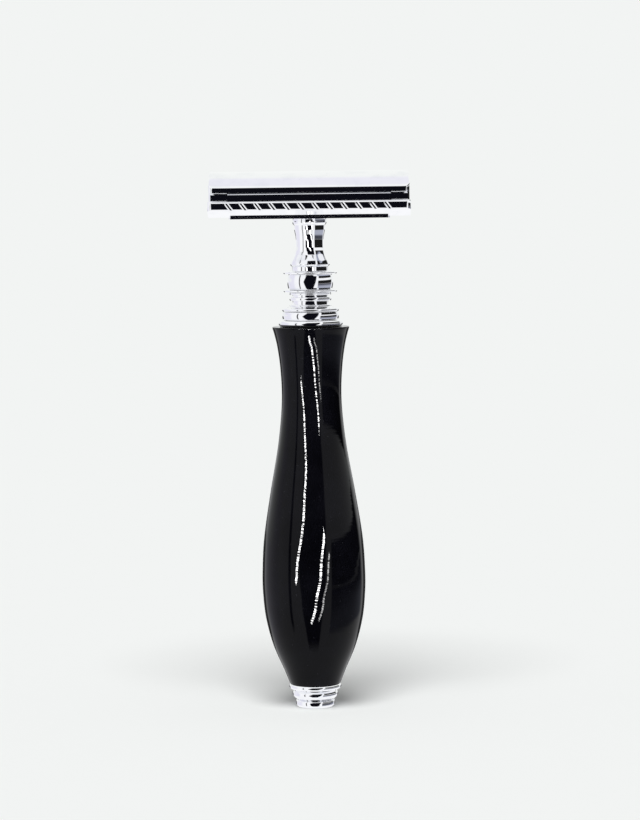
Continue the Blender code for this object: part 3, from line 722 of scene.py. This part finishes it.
def groove(index, direction):
    """A leaning wedge that cuts one groove in the guard's face."""
    middle = (index - (GROOVES - 1) / 2) * GROOVE_PITCH
    lean = (GROOVE_TOP - GROOVE_LOW) / 2 * math.tan(math.radians(GROOVE_LEAN))
    corners = ((-1, GROOVE_LOW, lean), (1, GROOVE_LOW, lean), (1, GROOVE_TOP, -lean), (-1, GROOVE_TOP, -lean))
    inside = (GUARD_WIDTH - GROOVE_DEPTH, GROOVE_FLOOR)
    outside = (GUARD_WIDTH + GROOVE_DEPTH, 2 * GROOVE_MOUTH - GROOVE_FLOOR)
    mesh = bmesh.new()
    rims = []
    for y, width in (inside, outside):
        rim = []
        for x, z, shift in corners:
            rim.append(mesh.verts.new((middle + x * width / 2 - direction * shift, direction * y, z)))
        rims.append(rim)
        mesh.faces.new(rim)
    for near in range(4):
        far = (near + 1) % 4
        mesh.faces.new((rims[0][near], rims[0][far], rims[1][far], rims[1][near]))
    return finished("groove", mesh, None, place=(0, 0, HEAD))


def make_base_plate():
    section = rounded(whole(PLATE_HALF))
    mesh = prism_mesh(section, -GUARD_LENGTH, GUARD_LENGTH, "x")
    plate = finished("base_plate_body", mesh, CHROME_CAST, place=(0, 0, HEAD))
    bed = over(SADDLE, SADDLE_HALF_WIDTH)
    edge, root = SADDLE_FOOT
    bed += [(edge, bed[-1][1] - SADDLE_SIDE_DROP), (edge, root), (0, root)]
    saddle = prism("saddle", whole(bed), -SADDLE_HALF_LENGTH, SADDLE_HALF_LENGTH, "x", (0, 0, HEAD))
    rib = prism("rib", plan(RIB_HALF_LENGTH, RIB_HALF_WIDTH, RIB_CORNER, 5), 0, RIB_TOP, "z", (0, 0, HEAD))
    combine(plate, [saddle, rib], "UNION")
    trim_corners(plate, GUARD_LENGTH, GUARD_WIDTH)
    cutters = [drilled("stud_hole", 0, PLATE_STUD_HOLE)]
    cutters += [drilled("pin_hole", x, PLATE_PIN_HOLE) for x in (-PIN_X, PIN_X)]
    for direction in (-1, 1):
        cutters += [groove(index, direction) for index in range(GROOVES)]
    combine(plate, cutters)
    edged(plate, PLATE_EASE)
    mounted(plate, "guard", "chromed_casting", "base_plate")


BLADE_HALF_LENGTH = 21.50
BLADE_EDGE_HALF = 18.60
BLADE_TAB = 9.10  # half the width of its ends
BLADE_GRIND = 0.80
BLADE_SURFACE = 0.05  # half the thickness
SLOT_HALF_LENGTH = 17.0
SLOT_HALF_WIDTH = 0.85
STUD_HOLE = 2.90
PIN_HOLE = 1.75


def bend(blade):
    mesh = bmesh.new()
    mesh.from_mesh(blade.data)
    for vertex in mesh.verts:
        angle = vertex.co.y / MM / BEND
        radius = BEND + vertex.co.z / MM
        vertex.co.y = radius * math.sin(angle) * MM
        vertex.co.z = (HEAD + BEND_CENTRE + radius * math.cos(angle)) * MM
    mesh.to_mesh(blade.data)
    mesh.free()


def make_blade():
    """Cut flat, then bent over the saddle. Its two long sides are ground to an edge."""
    body = BLADE_HALF - BLADE_GRIND
    bevel = body + 0.40
    top = [(step / 20 * body, BLADE_SURFACE) for step in range(21)]
    ground = [(bevel, 0.032), (BLADE_HALF, 0.008), (BLADE_HALF, -0.008), (bevel, -0.032)]
    below = [(across, -height) for across, height in reversed(top)]
    mesh = prism_mesh(whole(top + ground + below), -BLADE_HALF_LENGTH, BLADE_HALF_LENGTH, "x")
    blade = finished("blade_body", mesh, BLADE_STEEL)
    past_end, past_side = 30, 20
    cutters = []
    for x in (-1, 1):
        for y in (-1, 1):
            notch = [(x * BLADE_EDGE_HALF, y * BLADE_TAB, 0.3), (x * past_end, y * BLADE_TAB)]
            notch += [(x * past_end, y * past_side), (x * BLADE_EDGE_HALF, y * past_side)]
            cutters.append(prism("notch", rounded(notch), -1, 1))
    slot = []
    for x, y in ((-1, -1), (1, -1), (1, 1), (-1, 1)):
        slot.append((x * SLOT_HALF_LENGTH, y * SLOT_HALF_WIDTH, 0.8))
    cutters.append(prism("slot", rounded(slot), -1, 1))
    for x, radius in ((0, STUD_HOLE), (-PIN_X, PIN_HOLE), (PIN_X, PIN_HOLE)):
        cutters.append(drilled("hole", x, radius, -1, 1, 0))
    combine(blade, cutters)
    bend(blade)
    blade.data.materials.append(GROUND_EDGE)
    ground_from = BEND * math.sin((body + 0.02) / BEND)
    for face in blade.data.polygons:
        if abs(face.center.y) / MM > ground_from and abs(face.normal.x) < 0.5:
            face.material_index = 1
    smooth(blade, 20)
    mounted(blade, "blade", "blade_steel", "blade")


CAP_TOP = 10.85
CAP_SIDE_TOP = 6.80
CAP_SIDE_LOW = 6.10
CAP_SHOULDER = 1.00
CAP_EASE = 0.35  # radius of the upper edge at each end
CAP_ROWS = 40
CAP_FOOT = CAP_SIDE_LOW - 0.15
CAP_WALL = 0.25
STUD_SOCKET = 1.95
PIN_SOCKET = 1.50
LUG = ((9.25, 4.11, 0.12), (9.95, 4.11, 0.15), (9.95, 5.60), (10.18, 6.12), (9.25, 6.80))
LUG_START = 18.80
LUG_INSET = 0.02


def turned_in(x, half_length, radius):
    """How far a rounded end of that radius has turned in at x."""
    past = max(abs(x) - (half_length - radius), 0)
    return radius - math.sqrt(max(radius**2 - past**2, 0))


def cap_stations(half_length):
    """The places of the cap's sections along X, which lie closer together in its rounded ends."""
    insets = [CORNER * (1 - math.cos(math.radians(angle))) for angle in range(9, 90, 9)]
    insets += [0.0, 0.02, 0.06, 0.13, 0.22, CAP_EASE]
    ends = {round(side * (half_length - inset), 5) for side in (-1, 1) for inset in insets}
    rows = [-half_length + 2 * half_length * row / CAP_ROWS for row in range(CAP_ROWS + 1)]
    return sorted(ends | {x for x in rows if abs(x) < half_length - CORNER})


def cap_half(x, half_length, half_width):
    """Half of the cap's section at x before it is hollowed: a crown arc, a tighter shoulder and a straight side."""
    middle = half_width - CAP_SHOULDER
    drop = CAP_TOP - CAP_SIDE_TOP
    crown = (middle**2 + drop**2 - CAP_SHOULDER**2) / (2 * (drop - CAP_SHOULDER))
    reach = math.degrees(math.asin(middle / (crown - CAP_SHOULDER)))
    inset = turned_in(x, half_length, CORNER)
    sink = turned_in(x, half_length, CAP_EASE)
    crown_arc = arc((0, CAP_TOP - crown), crown, 90, 90 - reach, 20)
    rim, rim_height = crown_arc[-1]
    widths = [y * (rim - inset) / rim for y, _ in crown_arc]
    half = [(y, CAP_TOP - crown + math.sqrt(crown**2 - y**2)) for y in widths]
    lift = half[-1][1] - rim_height
    shoulder = arc((middle, CAP_SIDE_TOP), CAP_SHOULDER, 90 - reach, 0, 10)[1:]
    half += [(y - inset, z + lift) for y, z in shoulder]
    side = half_width - inset
    half += [(side, CAP_SIDE_LOW), (side - 0.03, CAP_SIDE_LOW - 0.07), (side - 0.10, CAP_SIDE_LOW - 0.13)]
    half = [(y, z - sink) if z > CAP_SIDE_TOP - 0.5 else (y, z) for y, z in half]
    return half + [(side - CAP_WALL, CAP_FOOT), (0, CAP_FOOT)]


def make_lugs(half_length, half_width):
    """The four corner pieces that reach down over the blade's ends."""
    lugs = []
    for x_side in (-1, 1):
        for y_side in (-1, 1):
            section = rounded([(y_side * point[0], *point[1:]) for point in LUG])
            low, high = sorted((x_side * LUG_START, x_side * (half_length - LUG_INSET)))
            lug = prism("lug", section, low, high, "x", (0, 0, HEAD))
            trim_corners(lug, half_length - LUG_INSET, half_width - LUG_INSET)
            lugs.append(lug)
    return lugs


def make_cap():
    half_length = reach_of("cap")
    half_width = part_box("cap")[1].y / MM
    mesh = bmesh.new()
    rings = []
    for x in cap_stations(half_length):
        section = whole(cap_half(x, half_length, half_width))
        rings.append([mesh.verts.new((x, y, z)) for y, z in section])
    count = len(rings[0])
    for ring, following in zip(rings, rings[1:]):
        for near in range(count):
            far = (near + 1) % count
            mesh.faces.new((ring[near], ring[far], following[far], following[near]))
    mesh.faces.new(rings[0])
    mesh.faces.new(rings[-1])
    cap = finished("cap_body", mesh, CHROME_CAST, place=(0, 0, HEAD))
    inner = half_width - CAP_WALL
    hollow = over(HOLLOW, inner) + [(inner, 0), (0, 0)]
    combine(cap, [prism("hollow", whole(hollow), -30, 30, "x", (0, 0, HEAD))])
    combine(cap, make_lugs(half_length, half_width), "UNION")
    sockets = ((0, STUD_SOCKET), (-PIN_X, PIN_SOCKET), (PIN_X, PIN_SOCKET))
    combine(cap, [drilled("hole", x, radius, 0, SOCKET_TOP) for x, radius in sockets])
    smooth(cap)
    mounted(cap, "cap", "chromed_casting", "cap")


def make_stud():
    low = HEAD - GAP - 8.10 - NECK_SHOULDER
    high = HEAD + SOCKET_TOP - GAP - NECK_SHOULDER
    thread_top = HEAD + 2.25 - NECK_SHOULDER
    shank, full = 1.90, 2.95
    thread = thread_mesh(0.0, low, high)
    stud = finished("cap_stud_body", thread, TURNED_STEEL, place=(0, 0, NECK_SHOULDER))
    outline = [(0, low), (1.80, low, 0.1), (full, low + 1.15), (full, thread_top)]
    outline += [(shank, thread_top + 1.05, 0.4), (shank, high), (0, high)]
    combine(stud, [turned("stud_trim", rounded(outline), None, NECK_SHOULDER, 72)], "INTERSECT")
    smooth(stud, 30)
    mounted(stud, "cap", "steel", "cap_stud")


def make_pins():
    low, radius, high = 2.85, 1.45, SOCKET_TOP - GAP
    outline = rounded([(0, low), (1.10, low, 0.15), (radius, 3.45, 0.3), (radius, high), (0, high)])
    for node, x in (("cap_pin_left", -PIN_X), ("cap_pin_right", PIN_X)):
        pin = turned(f"{node}_body", outline, TURNED_STEEL, HEAD, DRILL_SIDES, x)
        mounted(pin, "cap", "steel", node)


def finish_inner_nodes():
    for node, material in (("tie_rod", TURNED_STEEL), ("lock_washer", TURNED_STEEL), ("core_tube", DRAWN_BRASS)):
        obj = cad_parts[node]
        obj.data.materials.clear()
        obj.data.materials.append(material)


# The stage, the light and the camera, in metres and degrees

STAND = 0.70  # from the camera to the razor's axis, and from the lights beside it to the grip
GRIP_MIDDLE = 0.050  # above the floor
FLOOR_RADIUS = 9.0
FLOOR_FADE = (0.25, 1.2)  # distances between which the lit floor turns into the backdrop
BACKDROP = (0.888, 0.905, 0.896, 1.0)
FLOOR_DARK = (0.886, 0.902, 0.894, 1.0)
FLOOR_PALE = (0.890, 0.907, 0.898, 1.0)


def make_floor():
    bpy.ops.mesh.primitive_circle_add(vertices=96, radius=FLOOR_RADIUS, fill_type="NGON", location=(0, 0, 0))
    floor = bpy.context.object
    floor.name = "floor"
    made, tree = new_material("pale_floor")
    place = tree.add("ShaderNodeTexCoord").outputs["Object"]
    tone = tree.mix(tree.noise(place, 45.0, 3.0), FLOOR_DARK, FLOOR_PALE)
    near = tree.add("ShaderNodeBsdfDiffuse", Color=tone)
    far = tree.add("ShaderNodeEmission", Color=BACKDROP)
    away = tree.add("ShaderNodeVectorMath", {"operation": "LENGTH"}, i0=place).outputs["Value"]
    fade = tree.ramp(away, *FLOOR_FADE)
    tree.output(tree.add("ShaderNodeMixShader", i0=fade, i1=near.outputs[0], i2=far.outputs[0]))
    floor.data.materials.append(made)
    floor.visible_glossy = False
    floor.visible_diffuse = False
    floor.visible_shadow = False


STUDIO = (1.0, 1.005, 1.02, 1.0)
STUDIO_BEHIND = (0.955, 0.973, 0.953, 1.0)
PALE_PANEL = (0.84, 0.83, 0.93, 1.0)
VIOLET_PANEL = (0.89, 0.885, 0.955, 1.0)
HORIZON = (0.90, 0.92, 0.92, 1.0)
ROOM = (0.004, 0.004, 0.007, 1.0)
LOWER_CARD_FOOT = (0.42, 0.44, 0.53, 1.0)
LOWER_CARD_HEAD = (0.02, 0.02, 0.03, 1.0)
DARK_PANEL = grey(0.03)
DARK_CARD = grey(0.012)
SOFT_LIGHT = grey(0.30)  # on matt surfaces
LEAST_TURN = 0.2  # which keeps the cards' height finite straight behind

# Edges and bands of the studio in degrees. A band is (low, high, how soft its edges are)

ROOM_LEFT = -34.0
ROOM_RIGHT = 28.0
ROOM_UP = (-44, 43, 10)
CARDS_LEFT = 40.0
CARDS_RIGHT = (128, 140)
SOFT_EDGE = (-2, 2)
STRIP_ACROSS = (-59, -53, 3)
STRIP_UP = (-30, 28, 8)
UPPER_CARD_UP = (17, 52, 4)
LEVEL_CARD_UP = (-9, 6, 2)
LOWER_CARD_UP = (-36, -9, 6)
LOWER_CARD_FADE = (-26, -9)
PALE_ACROSS = (-138, -88, 16)
PALE_UP = (-26, 24, 14)
BACK_SIDEWAYS = (145, 190, 8)
BACK_UP = (-17, -3, 3)
BEHIND_SIDEWAYS = (100, 120)
BEHIND_UP = (4, 10)
VIOLET_UP = (50, 75, 12)
HORIZON_UP = (-1, 7, 4)


def make_world():
    """A white studio. Reflections alone show the dark of the room round the camera, and cards at its sides.

    Directions are in degrees across and up, and the camera lies at 0 across.
    """
    world = bpy.data.worlds.new("studio")
    bpy.context.scene.world = world
    world.use_nodes = True
    tree = Nodes(world.node_tree)
    x, y, z = tree.add("ShaderNodeSeparateXYZ", i0=tree.add("ShaderNodeTexCoord").outputs["Generated"]).outputs
    to_degrees = 180.0 / math.pi
    across = tree.times(tree.math("ARCTAN2", x, tree.times(y, -1.0)), to_degrees)
    sideways = tree.math("ABSOLUTE", across)
    up = tree.times(tree.math("ARCSINE", z), to_degrees)
    above = tree.math("MAXIMUM", up, 0.0)
    beneath = tree.math("MINIMUM", up, 0.0)

    # The room round the camera, whose left and right limits slant with height
    left = tree.math("MULTIPLY_ADD", above, 0.45, tree.math("MULTIPLY_ADD", beneath, -0.35, ROOM_LEFT))
    right = tree.math("MULTIPLY_ADD", above, 0.30, tree.math("MULTIPLY_ADD", beneath, 0.35, ROOM_RIGHT))
    room = tree.times(tree.ramp(tree.math("SUBTRACT", across, left), *SOFT_EDGE), tree.band(up, *ROOM_UP))
    room = tree.times(room, tree.ramp(tree.math("SUBTRACT", right, across), *SOFT_EDGE))

    # Three cards at the right. They close in on the horizon as they turn away, so that a round piece shows their
    # edges level
    start = tree.math("MULTIPLY_ADD", above, 0.30, CARDS_LEFT)
    side = tree.ramp(tree.math("SUBTRACT", across, start), *SOFT_EDGE)
    side = tree.times(side, tree.ramp(across, *CARDS_RIGHT, 1.0, 0.0))
    turn = tree.math("COSINE", tree.times(across, math.pi / 360.0))
    lift = tree.math("DIVIDE", up, tree.math("MAXIMUM", turn, LEAST_TURN))
    upper = tree.times(side, tree.band(lift, *UPPER_CARD_UP))
    level = tree.times(side, tree.band(lift, *LEVEL_CARD_UP))
    lower = tree.times(side, tree.band(lift, *LOWER_CARD_UP))
    lower_colour = tree.mix(tree.ramp(lift, *LOWER_CARD_FADE), LOWER_CARD_FOOT, LOWER_CARD_HEAD)

    # A strip and a pale panel at the left, and the panels and the horizon behind
    strip = tree.times(tree.band(across, *STRIP_ACROSS), tree.band(up, *STRIP_UP))
    pale = tree.times(tree.band(across, *PALE_ACROSS), tree.band(up, *PALE_UP))
    back = tree.times(tree.band(sideways, *BACK_SIDEWAYS), tree.band(up, *BACK_UP))
    behind = tree.ramp(sideways, *BEHIND_SIDEWAYS)
    violet = tree.times(behind, tree.band(up, *VIOLET_UP))
    horizon = tree.times(behind, tree.band(up, *HORIZON_UP))

    colour = tree.mix(tree.times(behind, tree.ramp(up, *BEHIND_UP)), STUDIO, STUDIO_BEHIND)
    for share, layer in (
        (pale, PALE_PANEL),
        (violet, VIOLET_PANEL),
        (horizon, HORIZON),
        (room, ROOM),
        (strip, DARK_PANEL),
        (upper, DARK_CARD),
        (level, DARK_CARD),
        (lower, lower_colour),
        (tree.times(back, 0.95), DARK_PANEL),
    ):
        colour = tree.mix(share, colour, layer)
    rays = tree.add("ShaderNodeLightPath").outputs
    seen = tree.mix(rays["Is Glossy Ray"], SOFT_LIGHT, colour)
    seen = tree.mix(rays["Is Camera Ray"], seen, BACKDROP)
    tree.output(tree.add("ShaderNodeBackground", Color=seen, Strength=1.0), "ShaderNodeOutputWorld")
    world.cycles.sampling_method = "MANUAL"
    world.cycles.sample_map_resolution = 2048


def make_sun(name, towards, spread, strength):
    data = bpy.data.lights.new(name, "SUN")
    data.angle = math.radians(spread)
    data.energy = strength
    light = bpy.data.objects.new(name, data)
    bpy.context.scene.collection.objects.link(light)
    light.rotation_euler = (-Vector(towards)).to_track_quat("-Z", "Y").to_euler()
    light.visible_glossy = False


BEAD_EDGE = (0.18, 0.34)  # from the middle of the gap, as a share of the spacing
BEAD_GAP_GLOW = 0.01
GRIP_TUBES = (  # name, (across, up) of the low end and of the high end, width, brightness, beads
    ("bulbs_right", (-8, -30), (26, 8), 0.042, 210.0, 30),
    ("bulbs_left", (-41, -8), (-16, 19), 0.042, 210.0, 36),
    ("tube_right", (10, -28), (36, 0), 0.030, 60.0, 30),
)
NECK_TUBES = (
    ("neck_right", (-8, -30), (26, 8), 0.050, 3.0, 0),
    ("neck_left", (-41, -16), (12, 24), 0.050, 3.0, 0),
    ("neck_card", (-20, -27), (20, -27), 0.240, 1.0, 0),
)


def seen_from_grip(across, up):
    """The place, a stand's distance away, that lies that many degrees across and up from the middle of the grip."""
    turn = math.radians(across)
    lift = math.radians(up)
    level = STAND * math.cos(lift)
    return Vector((level * math.sin(turn), -level * math.cos(turn), GRIP_MIDDLE + STAND * math.sin(lift)))


def make_tube(lit, name, low, high, width, brightness, beads):
    """A straight light that lights only the pieces in lit. Its ends are (across, up) in degrees from the grip.

    Beads break it up into that many bright parts, with level gaps between them however the light slants.
    """
    start = seen_from_grip(*low)
    end = seen_from_grip(*high)
    data = bpy.data.lights.new(name, "AREA")
    data.shape = "RECTANGLE"
    data.size = (end - start).length
    data.size_y = width
    data.energy = brightness * math.pi * data.size * width
    light = bpy.data.objects.new(name, data)
    bpy.context.scene.collection.objects.link(light)
    middle = (start + end) / 2
    along = (end - start).normalized()
    back = (middle - Vector((0.0, 0.0, GRIP_MIDDLE))).normalized()
    back = (back - along * back.dot(along)).normalized()
    side = back.cross(along)
    light.matrix_world = Matrix((along, side, back)).transposed().to_4x4()
    light.location = middle
    light.light_linking.receiver_collection = lit
    if beads:
        data.use_nodes = True
        tree = Nodes(data.node_tree)
        place = tree.add("ShaderNodeSeparateXYZ", i0=tree.add("ShaderNodeNewGeometry").outputs["Parametric"])
        slant = width * side.z / (data.size * along.z)
        run = tree.math("MULTIPLY_ADD", place.outputs[1], slant, place.outputs[0])
        phase = tree.math("PINGPONG", tree.math("FRACT", tree.times(run, float(beads))), 0.5)
        glow = tree.add("ShaderNodeEmission", Strength=tree.ramp(phase, *BEAD_EDGE, BEAD_GAP_GLOW, 1.0))
        tree.output(glow, "ShaderNodeOutputLight")


def lit_only(name, obj):
    collection = bpy.data.collections.new(name)
    collection.objects.link(obj)
    return collection


def make_tubes(grip, neck):
    """Slanting rows of bulbs on both sides of the camera, for the grip. The neck has weaker ones and a wide card."""
    for lit, tubes in ((lit_only("lit_grip", grip), GRIP_TUBES), (lit_only("lit_neck", neck), NECK_TUBES)):
        for tube in tubes:
            make_tube(lit, *tube)


CAMERA_PLACE = (0.0019, -STAND, 0.125)
CAMERA_DOWN = 4.53
CAMERA_ROLL = -0.72
SENSOR = 36.0
LENS = 132.5


def make_camera():
    data = bpy.data.cameras.new("camera")
    data.sensor_fit = "VERTICAL"
    data.sensor_height = SENSOR
    data.sensor_width = SENSOR
    data.lens = LENS
    data.clip_start = 0.01
    data.clip_end = 100.0
    camera = bpy.data.objects.new("camera", data)
    bpy.context.scene.collection.objects.link(camera)
    camera.location = CAMERA_PLACE
    down = math.radians(CAMERA_DOWN)
    roll = math.radians(CAMERA_ROLL)
    aim = Euler((math.pi / 2 - down, 0.0, 0.0)).to_matrix() @ Euler((0.0, 0.0, roll)).to_matrix()
    camera.rotation_euler = aim.to_euler()
    bpy.context.scene.camera = camera


make_camera()
make_floor()
make_world()
make_sun("key", towards=(-0.04, -0.45, 0.88), spread=33, strength=2.47)
bpy.context.scene.view_settings.view_transform = "Standard"
make_foot()
grip_body = make_grip()
make_rings()
make_tubes(grip_body, make_neck())
make_base_plate()
make_blade()
make_cap()
make_stud()
make_pins()
finish_inner_nodes()
